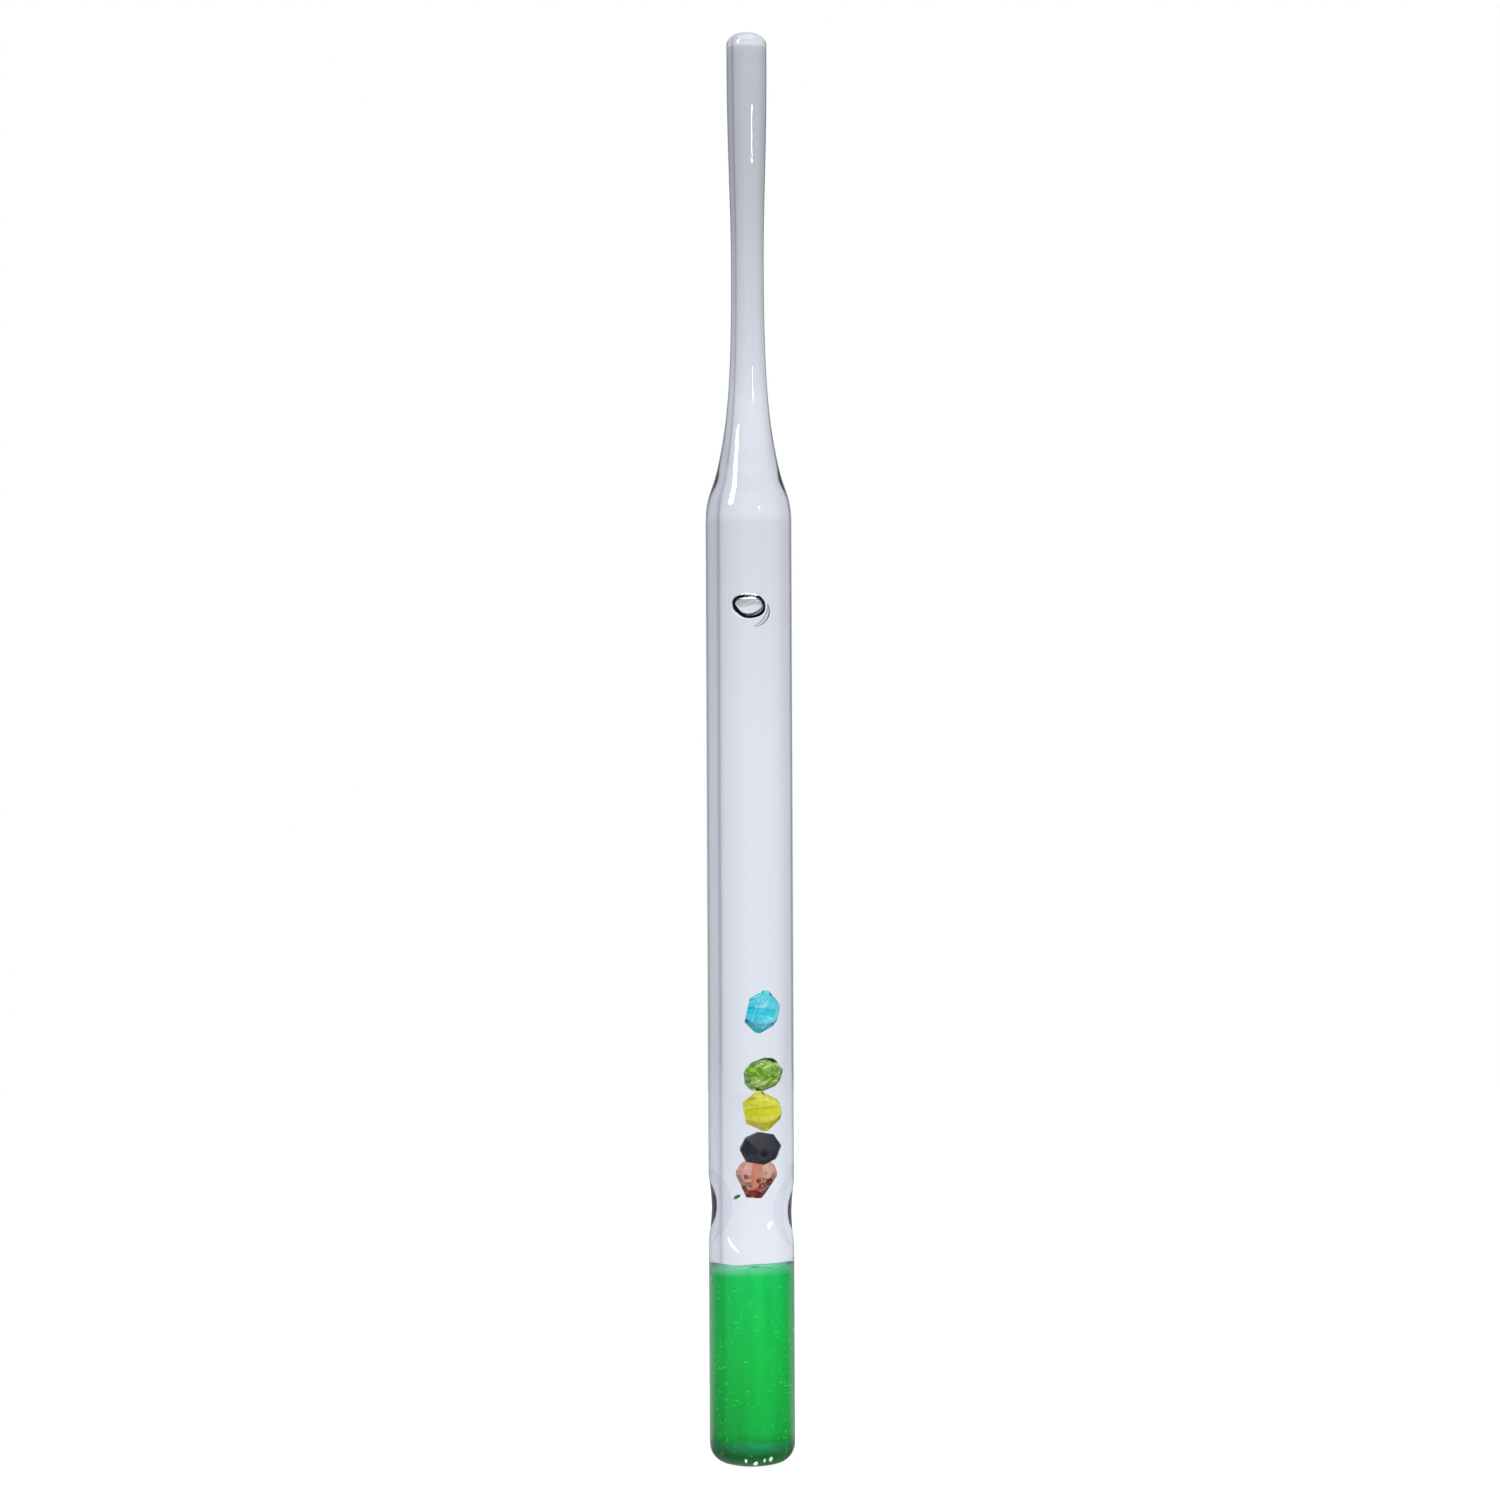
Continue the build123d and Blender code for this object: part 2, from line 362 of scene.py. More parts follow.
SKIN_GRID = dented(*SKIN, 0.0)
BORE_GRID = dented(*BORE, DENT_WALL)
pinch = BORE_GRID[np.argmin(np.abs(BORE[1] - 36.0))]
print(f"the gap between the dents is about {2 * pinch.min():.1f} mm at its narrowest")

# %% [markdown]
# ## One closed skin
# Rings of points become a closed surface, with a pole at each end. A tube has two such skins, and the
# inner one is turned inside out, so that the glass lies between them.

# %% A skin from a grid of points
def skin_of(grid, z, lift=None):
    """Vertices and faces of a closed surface. Its faces look outward, and a pole closes each end."""
    around = np.arange(SEGMENTS) * 2 * math.pi / SEGMENTS
    keep = grid.max(axis=1) > 1e-4
    grid, z = grid[keep], z[keep]
    height = np.repeat(z[:, None], SEGMENTS, axis=1)
    points = np.stack([grid * np.cos(around), grid * np.sin(around), height], axis=-1)
    if lift is not None:
        points = lift(points)
    rings = len(grid)
    vertices = points.reshape(-1, 3).tolist()
    poles = [points[0].mean(axis=0), points[-1].mean(axis=0)]
    poles[1][2] = max(poles[1][2], z[-1])
    vertices += [pole.tolist() for pole in poles]
    faces = []
    for i in range(rings - 1):
        for j in range(SEGMENTS):
            k = (j + 1) % SEGMENTS
            here, above = i * SEGMENTS, (i + 1) * SEGMENTS
            faces.append((here + j, here + k, above + k, above + j))
    bottom, top, last = rings * SEGMENTS, rings * SEGMENTS + 1, (rings - 1) * SEGMENTS
    for j in range(SEGMENTS):
        k = (j + 1) % SEGMENTS
        faces.append((bottom, k, j))
        faces.append((top, last + j, last + k))
    return vertices, faces


def piece(name, skins, smooth=True):
    """One object from one or more skins in mm. A skin marked as a hollow is turned inside out."""
    vertices, faces = [], []
    for hollow, (points, polygons) in skins:
        start = len(vertices)
        vertices += [tuple(c * MM for c in p) for p in points]
        faces += [tuple(start + i for i in (reversed(f) if hollow else f)) for f in polygons]
    mesh = bpy.data.meshes.new(name)
    mesh.from_pydata(vertices, [], faces)
    mesh.validate()
    if smooth:
        mesh.shade_smooth()
    obj = bpy.data.objects.new(name, mesh)
    bpy.context.scene.collection.objects.link(obj)
    return obj


def place(obj, body, node):
    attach(obj, body)
    if node:
        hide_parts(node)
    triangles = sum(len(p.vertices) - 2 for p in obj.data.polygons)
    print(f"{obj.name}: {triangles} triangles, rides on {body}")


def swollen(grid, by):
    return np.where(grid > 1e-4, grid + by, 0.0)


# %% Glass envelope
glass = piece("glass_tube", [(False, skin_of(SKIN_GRID, SKIN[1])), (True, skin_of(BORE_GRID, BORE[1]))])
place(glass, "glass", "glass_envelope")

# %% [markdown]
# ## The resin ballast and the liquid above it
# Green casting resin was poured in first and set with an uneven top, a little higher where it clung to
# the glass. It also trapped a flat lens of air on the floor. The liquid was poured on top of it. The
# liquid's skin reaches a hair into the glass, so that no sliver of air is left between two clear solids.
# It also goes down round the resin, as a film too thin to see: the resin then lies in the liquid as the
# beads do, and the ray bends at its face by their small difference alone.

# %% Uneven resin top
OVERLAP = 0.03
PLUG_TOP_MM = PLUG_TOP / MM
LENS_X, LENS_CENTRE, LENS_R = 1.0, -3.881, 6.0
RIPPLES = [(1, 0.12, 0.6), (2, 0.10, 2.1), (3, 0.12, 4.0), (5, 0.10, 1.2), (9, 0.07, 0.4), (14, 0.05, 3.0)]


def resin_top(x, y):
    """Height of the set resin above its mean level, in mm."""
    angle, r = np.arctan2(y, x), np.hypot(x, y) / BORE_MM
    wave = sum(size * np.cos(count * angle + start) for count, size, start in RIPPLES)
    inner = 0.18 * np.sin(1.9 * x + 0.7) * np.cos(2.3 * y - 0.4)
    return wave * r**2 + 0.3 * inner + 0.25 * r**4


def lens_floor(points, film=0.0):
    """Lifts the floor to the crown of the trapped air lens."""
    x, y, z = points[..., 0], points[..., 1], points[..., 2]
    crown = LENS_CENTRE + film + np.sqrt(np.clip(LENS_R**2 - (x - LENS_X) ** 2 - y**2, 0, None))
    ripple = 0.05 * np.sin(5.0 * x) * np.cos(6.0 * y)
    low = z < 3.0
    points[..., 2] = np.where(low & (crown > z), np.maximum(z, crown + ripple), z)
    return points


def cut_top(grid, z, level, top_rings=16):
    """Cuts a grid off at a level and closes it with rings that shrink to the middle."""
    keep = z < level - 0.9
    rim = np.array([np.interp(level, z, grid[:, j]) for j in range(SEGMENTS)])
    shares = np.linspace(1, 0, top_rings + 1)[:-1]
    lid = np.array([rim * s for s in shares])
    return np.vstack([grid[keep], lid]), np.concatenate([z[keep], np.full(top_rings, level)])


def lift_resin(points):
    x, y, z = points[..., 0], points[..., 1], points[..., 2]
    points[..., 2] = np.where(z > PLUG_TOP_MM - 0.01, z + resin_top(x, y), z)
    return lens_floor(points, OVERLAP)


plug_grid, plug_z = cut_top(swollen(BORE_GRID, -OVERLAP), BORE[1], PLUG_TOP_MM)
plug_z = np.where(plug_z < 3, plug_z + OVERLAP, plug_z)
plug = piece("resin_ballast", [(False, skin_of(plug_grid, plug_z, lift_resin))])
place(plug, "glass", "ballast_plug")

# %% [markdown]
# ## The bubble
# A little air stayed in when the tip was fused. It clings to the front wall, not quite round, and
# trails a thin thread of air. Both are hollows in the liquid's skin.

# %% Liquid with its bubble
BUBBLE_AT, BUBBLE_R = np.array([0.0, -3.1, 119.8]), 1.8


def ball(centre, radius, steps=40):
    """A bubble that is not quite round, as it clings to the front wall."""
    down = np.linspace(0, math.pi, steps + 1)[1:-1]
    around = np.arange(SEGMENTS) * 2 * math.pi / SEGMENTS
    dimple = 0.08 * np.sin(3 * around + 0.8)[None, :] * np.sin(2 * down)[:, None]
    dimple = dimple + 0.05 * np.cos(2 * around + 2.0)[None, :]
    grid = np.sin(down)[:, None] * (1 + dimple)
    points, faces = skin_of(grid, -np.cos(down))
    points[-2], points[-1] = [0.0, 0.0, -1.0], [0.0, 0.0, 1.0]
    return [[c + radius * p * s for c, p, s in zip(centre, q, (1.2, 1, 1.04))] for q in points], faces


def wisp(centre, radius, start, end, thick, steps=28, sides=16):
    """A thread of air bent round the bubble, as a closed worm. Angles are seen from the front."""
    share = np.linspace(0, 1, steps)
    angle = np.radians(start + (end - start) * share)
    width = thick * np.sin(math.pi * np.clip(share, 0.02, 0.98)) ** 0.7
    points, faces = [], []
    for a, w in zip(angle, width):
        for j in range(sides):
            b = 2 * math.pi * j / sides
            out = radius + w * math.cos(b)
            lift = w * math.sin(b)
            points.append([centre[0] + out * math.cos(a), centre[1] + lift, centre[2] + out * math.sin(a)])
    for i in range(steps - 1):
        for j in range(sides):
            k = (j + 1) % sides
            faces.append((i * sides + j, (i + 1) * sides + j, (i + 1) * sides + k, i * sides + k))
    faces.append(tuple(range(sides)))
    faces.append(tuple(reversed(range((steps - 1) * sides, steps * sides))))
    return points, faces


liquid_grid = swollen(BORE_GRID, OVERLAP)
liquid_z = BORE[1] + np.interp(BORE[1], [1.2, 3.0, 190.0, 198.8], [-OVERLAP, 0.0, 0.0, OVERLAP])
bubble = ball(BUBBLE_AT, BUBBLE_R)
tail = wisp((-0.1, -4.2, 119.4), 2.6, 14, -74, 0.32)
liquid_skins = [(False, skin_of(liquid_grid, liquid_z, lens_floor)), (True, bubble), (True, tail)]
liquid = piece("clear_fill", liquid_skins)
measure = bmesh.new()
measure.from_mesh(liquid.data)
print("liquid volume in ml:", round(measure.calc_volume(signed=True) * 1e6, 2))
measure.free()
place(liquid, "glass", "liquid_fill")

# %% [markdown]
# ## Beads
# They are drilled, machine-cut bicone beads of coloured crystal. Rings of flat facets run between two
# end faces, and the threading hole goes through both. A cut bead has crisp edges with a hair-thin
# polish, so a very small bevel catches the light. Each corner starts where the CAD bead has one.

# %% Bead rule
HOLE_R, BELT = 0.5, 0.5
POINTS_ROUND = 48


def along(down, to_front=0.0):
    level = math.cos(math.radians(down))
    front = math.radians(to_front)
    return Vector((level * math.cos(front), -level * math.sin(front), -math.sin(math.radians(down))))


BEADS = {
    # name: (body, slot, cut, sides, centre, hole direction, girdle, length, end)
    "bead_blue": ("blue", "blue_crystal", "bicone", 6, (1.2, -1.4, 63.4), along(9), 6.0, 3.2, 3.4),
    "bead_green": ("green", "green_crystal", "round", 8, (1.3, -1.5, 54.7), along(28, 20), 5.0, 3.6, 2.2),
    "bead_yellow": ("yellow", "yellow_crystal", "bicone", 6, (1.15, -1.45, 49.6), along(-8), 5.6, 3.8, 2.9),
    "bead_black": ("black", "black_crystal", "round", 8, (1.05, -2.2, 44.5), along(22, 68), 4.9, 3.6, 2.2),
    "bead_red": ("red", "copper_crystal", "drop", 6, (0.5, 0.3, 40.8), along(-86), 3.9, 5.4, 1.5),
}
CUTS = {
    # rings: height as a share of the length, diameter as a share of the girdle; None is the end diameter
    "bicone": [(-0.5, None), (0.5, None)],
    "round": [(-0.5, None), (-0.31, 0.83), (0.31, 0.83), (0.5, None)],
    "drop": [(-0.62, None), (-0.51, 0.5), (0.24, 0.83), (0.38, 0.5)],
}


def first_corner(node, centre, hole):
    """Direction of one girdle corner of the CAD bead, square to its hole."""
    best, found = 0.0, hole.orthogonal()
    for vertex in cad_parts[node].data.vertices:
        arm = vertex.co / MM - Vector(centre)
        arm = arm - hole * arm.dot(hole)
        if arm.length > best + 1e-6:
            best, found = arm.length, arm
    return found.normalized()


def polygon_ring(radius, sides):
    """Points spaced along a regular polygon's sides, corners included."""
    points = []
    each = POINTS_ROUND // sides
    corners = [radius * np.exp(2j * math.pi * i / sides) for i in range(sides + 1)]
    for i in range(sides):
        points += [corners[i] + (corners[i + 1] - corners[i]) * step / each for step in range(each)]
    return points


def give_tones(data, centre, hole):
    """Stores each facet's painted light, brighter as it faces a fixed direction, and which faces are the
    drilled hole's wall.
    """
    tone = data.attributes.new("facet_painted_light", "FLOAT", "FACE")
    drilled = data.attributes.new("drilled", "FLOAT", "FACE")
    # painted light and shade: facets turned to this direction are lighter, the others darker, with an
    # alternation from facet to facet
    flash = Vector((0.62, -0.45, 0.64)).normalized()
    for polygon in data.polygons:
        normal = polygon.normal
        alternate = 0.22 * math.sin(7.3 * normal.x + 5.1 * normal.y + 9.7 * normal.z)
        tone.data[polygon.index].value = min(max(0.5 + 0.5 * normal.dot(flash) + alternate, 0.0), 1.0)
        arm = polygon.center - centre
        radius = (arm - hole * arm.dot(hole)).length / MM
        drilled.data[polygon.index].value = 1.0 if radius < HOLE_R * 1.02 else 0.0


def bead(name, cut, sides, centre, hole, girdle, length, end, drilled=True):
    """A faceted bead. Its rings all have the same number of points, so quads join each to the next."""
    rings = [(at * length, girdle * share if share else end) for at, share in CUTS[cut]]
    rings = sorted([*rings, (-BELT / 2, girdle), (BELT / 2, girdle)])
    across = first_corner(name, centre, hole)
    other = hole.cross(across)
    loops = [[(point, height) for point in polygon_ring(d / 2, sides)] for height, d in rings]
    if drilled:
        mouth = [HOLE_R * np.exp(2j * math.pi * i / POINTS_ROUND) for i in range(POINTS_ROUND)]
        loops.append([(point, rings[-1][0]) for point in mouth])
        loops.append([(point, rings[0][0]) for point in mouth])
    else:
        loops = [[(point * 0.02, height) for point, height in loops[0]]] + loops
        loops.append([(point * 0.02, height) for point, height in loops[-1]])
    mesh = bmesh.new()
    made = []
    for loop in loops:
        row = []
        for point, height in loop:
            where = Vector(centre) + across * point.real + other * point.imag + hole * height
            row.append(mesh.verts.new(where * MM))
        made.append(row)
    joins = len(made) if drilled else len(made) - 1
    for i in range(joins):
        low, high = made[i], made[(i + 1) % len(made)]
        for j in range(POINTS_ROUND):
            k = (j + 1) % POINTS_ROUND
            mesh.faces.new((low[j], low[k], high[k], high[j]))
    if not drilled:
        mesh.faces.new(list(reversed(made[0])))
        mesh.faces.new(made[-1])
    bmesh.ops.dissolve_limit(mesh, angle_limit=math.radians(1.5), verts=mesh.verts[:], edges=mesh.edges[:])
    bmesh.ops.recalc_face_normals(mesh, faces=mesh.faces[:])
    sharp = [e for e in mesh.edges if e.calc_face_angle(0) > math.radians(12)]
    bmesh.ops.bevel(
        mesh, geom=sharp, offset=0.045 * MM, segments=2, profile=0.5, affect="EDGES", clamp_overlap=True
    )
    data = bpy.data.meshes.new("cut_" + name)
    mesh.to_mesh(data)
    mesh.free()
    give_tones(data, Vector(centre) * MM, hole)
    obj = bpy.data.objects.new("cut_" + name, data)
    bpy.context.scene.collection.objects.link(obj)
    return obj


bead_pieces = {}
for name, (body, slot_name, *cut) in BEADS.items():
    bead_pieces[name] = bead(name, *cut)
    place(bead_pieces[name], body, name)

# %% Crumb of resin
fleck = bead("resin_fleck", "bicone", 6, (-1.85, -4.1, 37.9), along(-30), 0.5, 1.0, 0.2, drilled=False)
place(fleck, "glass", "resin_fleck")

# %% [markdown]
# ## Specks in the resin
# The resin was stirred and poured cold, so it kept specks of air all through it, most of them near the
# glass. They repeat, so Geometry Nodes scatter them: points on a hidden tube just inside the glass, one
# small ball on each, of a random size, then all made real. The seed is fixed.

# %% Specks node tree
def in_use(sockets, name):
    """The socket of that name that the node's present data type shows."""
    return next(socket for socket in sockets if socket.enabled and socket.name == name)


def speck_tree():
    tree = bpy.data.node_groups.new("resin_specks", "GeometryNodeTree")
    face = tree.interface
    face.new_socket("Geometry", in_out="INPUT", socket_type="NodeSocketGeometry")
    face.new_socket("Density", in_out="INPUT", socket_type="NodeSocketFloat")
    face.new_socket("Smallest", in_out="INPUT", socket_type="NodeSocketFloat")
    face.new_socket("Largest", in_out="INPUT", socket_type="NodeSocketFloat")
    face.new_socket("Seed", in_out="INPUT", socket_type="NodeSocketInt")
    face.new_socket("Material", in_out="INPUT", socket_type="NodeSocketMaterial")
    face.new_socket("Geometry", in_out="OUTPUT", socket_type="NodeSocketGeometry")
    add, link = tree.nodes.new, tree.links.new
    given, result = add("NodeGroupInput"), add("NodeGroupOutput")
    scatter = add("GeometryNodeDistributePointsOnFaces")
    grain = add("GeometryNodeMeshIcoSphere")
    grain.inputs["Subdivisions"].default_value = 2
    size = add("FunctionNodeRandomValue")
    scale = add("ShaderNodeCombineXYZ")
    longer = add("ShaderNodeMath")
    longer.operation = "MULTIPLY"
    longer.inputs[1].default_value = 1.5
    copies = add("GeometryNodeInstanceOnPoints")
    real = add("GeometryNodeRealizeInstances")
    paint = add("GeometryNodeSetMaterial")
    link(given.outputs["Geometry"], scatter.inputs["Mesh"])
    link(given.outputs["Density"], scatter.inputs["Density"])
    link(given.outputs["Seed"], scatter.inputs["Seed"])
    link(given.outputs["Smallest"], in_use(size.inputs, "Min"))
    link(given.outputs["Largest"], in_use(size.inputs, "Max"))
    link(given.outputs["Seed"], size.inputs["Seed"])
    drawn = in_use(size.outputs, "Value")
    link(drawn, scale.inputs["X"])
    link(drawn, scale.inputs["Y"])
    link(drawn, longer.inputs[0])
    link(longer.outputs[0], scale.inputs["Z"])
    link(scatter.outputs["Points"], copies.inputs["Points"])
    link(grain.outputs["Mesh"], copies.inputs["Instance"])
    link(scale.outputs[0], copies.inputs["Scale"])
    link(copies.outputs["Instances"], real.inputs["Geometry"])
    link(real.outputs["Geometry"], paint.inputs["Geometry"])
    link(given.outputs["Material"], paint.inputs["Material"])
    link(paint.outputs["Geometry"], result.inputs["Geometry"])
    return tree


SPECKS = speck_tree()
print("speck tree has", len(SPECKS.nodes), "nodes")

# %% Scatter the specks
def new_material(name):
    material = bpy.data.materials.new(name)
    material.use_nodes = True
    tree = material.node_tree
    return material, tree, tree.nodes["Principled BSDF"]


def scatter(name, points, faces, density, smallest, largest, seed, material):
    """Specks on a helper surface given in mm. The helper itself isn't kept."""
    helper = bpy.data.meshes.new(name + "_helper")
    helper.from_pydata([tuple(c * MM for c in p) for p in points], [], faces)
    holder = bpy.data.objects.new(name, helper)
    bpy.context.scene.collection.objects.link(holder)
    modifier = holder.modifiers.new("specks", "NODES")
    modifier.node_group = SPECKS
    wanted = {
        "Density": density,
        "Smallest": smallest * MM,
        "Largest": largest * MM,
        "Seed": seed,
        "Material": material,
    }
    for item in SPECKS.interface.items_tree:
        if item.in_out == "INPUT" and item.name in wanted:
            modifier[item.identifier] = wanted[item.name]
    bpy.context.view_layer.update()
    evaluated = holder.evaluated_get(bpy.context.evaluated_depsgraph_get())
    made = bpy.data.meshes.new_from_object(evaluated)
    holder.modifiers.clear()
    holder.data = made
    holder.data.shade_smooth()
    bpy.data.meshes.remove(helper)
    return holder


def tube_strip(radius, low, high, start, end, rows=12, columns=36):
    """A stretch of a tube's wall, between two directions in degrees."""
    angles = np.radians(np.linspace(start, end, columns + 1))
    points, faces = [], []
    for z in np.linspace(low, high, rows + 1):
        points += [[radius * math.cos(a), radius * math.sin(a), z] for a in angles]
    for i in range(rows):
        for j in range(columns):
            k = i * (columns + 1) + j
            faces.append((k, k + 1, k + columns + 2, k + columns + 1))
    return points, faces


# painted light: the specks glow a light green
glowing_speck, tree, shader = new_material("resin_speck")
shader.inputs["Base Color"].default_value = (0.30, 0.85, 0.48, 1)
shader.inputs["Roughness"].default_value = 0.25
shader.inputs["Emission Color"].default_value = (0.35, 1.0, 0.55, 1)
shader.inputs["Emission Strength"].default_value = 0.5
# painted glints: the pearls of air glow near white
glowing_pearl, tree, shader = new_material("air_pearl")
shader.inputs["Base Color"].default_value = (0.86, 0.97, 0.90, 1)
shader.inputs["Roughness"].default_value = 0.15
shader.inputs["Emission Color"].default_value = (0.8, 1.0, 0.88, 1)
shader.inputs["Emission Strength"].default_value = 0.6

speck_sets = [
    ("specks_all_round", tube_strip(4.55, 2.0, 26.6, 0, 360), 230e3, 0.035, 0.11, 3, glowing_speck),
    ("specks_left", tube_strip(4.85, 2.5, 18.0, 200, 250), 600e3, 0.035, 0.11, 8, glowing_speck),
    ("specks_deep", tube_strip(3.0, 2.5, 25.5, 0, 360), 150e3, 0.035, 0.12, 5, glowing_speck),
]
for name, (points, faces), density, smallest, largest, seed, finish in speck_sets:
    specks = scatter(name, points, faces, density, smallest, largest, seed, finish)
    place(specks, "glass", None)
pocket = tube_strip(4.0, 0.9, 1.9, 248, 318, 2, 20)
pearls = scatter("pocket_pearls", *pocket, 2.6e6, 0.10, 0.26, 4, glowing_pearl)
place(pearls, "glass", None)

# %% [markdown]
# ## Glinting slivers
# Two thin white blades lie by the dents and glow: painted glints. Each is a closed worm along a bent line.

# %% Glinting slivers
def sliver(path, thick, steps=18, sides=12):
    """A thin curved blade along a path of three points in mm, as a closed worm."""
    a, b, c = (np.array(point, float) for point in path)
    share = np.linspace(0, 1, steps)[:, None]
    line = a * (1 - share) ** 2 + 2 * b * share * (1 - share) + c * share**2
    ahead = np.gradient(line, axis=0)
    ahead /= np.linalg.norm(ahead, axis=1)[:, None]
    across = np.cross(ahead, [0.0, 1.0, 0.0])
    points, faces = [], []
    for i in range(steps):
        width = thick * math.sin(math.pi * min(max(i / (steps - 1), 0.02), 0.98))
        for j in range(sides):
            turn = 2 * math.pi * j / sides
            shift = across[i] * width * math.cos(turn) + np.array([0, 0.3 * width * math.sin(turn), 0])
            points.append((line[i] + shift).tolist())
    for i in range(steps - 1):
        for j in range(sides):
            k = (j + 1) % sides
            faces.append((i * sides + j, (i + 1) * sides + j, (i + 1) * sides + k, i * sides + k))
    faces.append(tuple(range(sides)))
    faces.append(tuple(reversed(range((steps - 1) * sides, steps * sides))))
    return points, faces


slivers = [
    sliver([(-3.0, -3.7, 32.4), (-2.7, -4.1, 31.0), (-1.5, -4.6, 30.2)], 0.22),
    sliver([(2.6, -4.0, 34.5), (2.2, -4.3, 34.1), (2.3, -4.2, 33.3)], 0.28),
]
glint_slivers = piece("glint_slivers", [(False, one) for one in slivers])
# painted glints: the slivers glow near white
painted_glint, tree, shader = new_material("painted_glint")
shader.inputs["Base Color"].default_value = (0.95, 0.96, 0.98, 1)
shader.inputs["Emission Color"].default_value = (0.95, 0.97, 1.0, 1)
shader.inputs["Emission Strength"].default_value = 0.8
glint_slivers.data.materials.append(painted_glint)
mesh = bmesh.new()
mesh.from_mesh(glint_slivers.data)
bmesh.ops.recalc_face_normals(mesh, faces=mesh.faces[:])
mesh.to_mesh(glint_slivers.data)
mesh.free()
place(glint_slivers, "glass", None)

# %% [markdown]
# ## Finishes
# Glass and liquid are clear all through: transmission is full and the colour is nearly white. At a
# slant the tint is painted towards grey, painted shade that gives the dark rims.
# Liquid and glass are taken to bend light alike. The dents have a finish of their own, a stand-in: a
# painted reflection that turns dark where the skin reflects totally, because the room here has too
# little that is dark. Their glass is also painted greyer, painted shade.

# %% Glass and liquid finish
def clear(name, ior, straight, slant, blend, gleam=1.0):
    """A clear solid, painted a little darker where it's seen at a slant: painted shade."""
    material, tree, shader = new_material(name)
    shader.inputs["Roughness"].default_value = 0.0
    shader.inputs["Transmission Weight"].default_value = 1.0
    shader.inputs["IOR"].default_value = ior
    shader.inputs["Specular Tint"].default_value = (gleam, gleam, gleam, 1)
    facing = tree.nodes.new("ShaderNodeLayerWeight")
    facing.inputs["Blend"].default_value = blend
    mix = tree.nodes.new("ShaderNodeMix")
    mix.data_type = "RGBA"
    mix.inputs["A"].default_value = (*straight, 1)
    mix.inputs["B"].default_value = (*slant, 1)
    tree.links.new(facing.outputs["Facing"], mix.inputs["Factor"])
    tree.links.new(mix.outputs["Result"], shader.inputs["Base Color"])
    return material


def pressed(name, ior):
    """Glass of the dents, painted greyer. Where the wall reflects totally, a dark matte finish is painted
    in: a painted reflection of the dark sides of the room.
    """
    material = clear(name, ior, (0.80, 0.81, 0.83), (0.30, 0.31, 0.34), 0.3, 0.6)
    tree = material.node_tree
    # painted reflection: a dark matte finish, mixed in where the wall reflects at a slant
    painted_dark_reflection = tree.nodes.new("ShaderNodeBsdfPrincipled")
    painted_dark_reflection.inputs["Base Color"].default_value = (0.06, 0.063, 0.075, 1)
    painted_dark_reflection.inputs["Roughness"].default_value = 0.6
    total = tree.nodes.new("ShaderNodeFresnel")
    total.inputs["IOR"].default_value = ior
    mixed = tree.nodes.new("ShaderNodeMixShader")
    tree.links.new(total.outputs["Fac"], mixed.inputs["Fac"])
    tree.links.new(tree.nodes["Principled BSDF"].outputs["BSDF"], mixed.inputs[1])
    tree.links.new(painted_dark_reflection.outputs["BSDF"], mixed.inputs[2])
    tree.links.new(mixed.outputs["Shader"], tree.nodes["Material Output"].inputs["Surface"])
    return material


# lowest and highest place of the dents' painted reflection and shade, and how far from the axis it reaches,
# in metres
DENT_LOW, DENT_HIGH, DENT_OUT = 0.0302, 0.0415, 0.00588
# the glass is painted grey-blue at a slant: painted shade
glass.data.materials.append(clear("clear_glass", 1.47, (0.985, 0.99, 0.995), (0.66, 0.69, 0.74), 0.2, 0.6))
# liquid and glass bend light alike, so light goes straight on where the liquid wets the bore
glass.data.materials.append(clear("wet_glass", 1.0, (1.0, 1.0, 1.0), (1.0, 1.0, 1.0), 0.2, gleam=0.0))
glass.data.materials.append(pressed("pressed_glass", 1.47))
skin_faces = len(skin_of(SKIN_GRID, SKIN[1])[1])
for polygon in glass.data.polygons:
    x, y, z = polygon.center
    dented_face = DENT_LOW < z < DENT_HIGH and math.hypot(x, y) < DENT_OUT
    polygon.material_index = 1 if polygon.index >= skin_faces else 2 if dented_face else 0
# the liquid is painted a little grey at a slant: painted shade
clear_liquid = clear("clear_liquid", 1.0, (0.95, 0.955, 0.97), (0.88, 0.89, 0.92), 0.2, gleam=0.0)
liquid.data.materials.append(clear_liquid)
liquid.data.materials.append(clear("bubble_skin", 1.468, (1.0, 1.0, 1.0), (1.0, 1.0, 1.0), 0.2))
for polygon in liquid.data.polygons:
    polygon.material_index = 1 if polygon.index >= len(liquid_skins[0][1][1]) else 0
print("glass faces on the bore:", len(glass.data.polygons) - skin_faces)
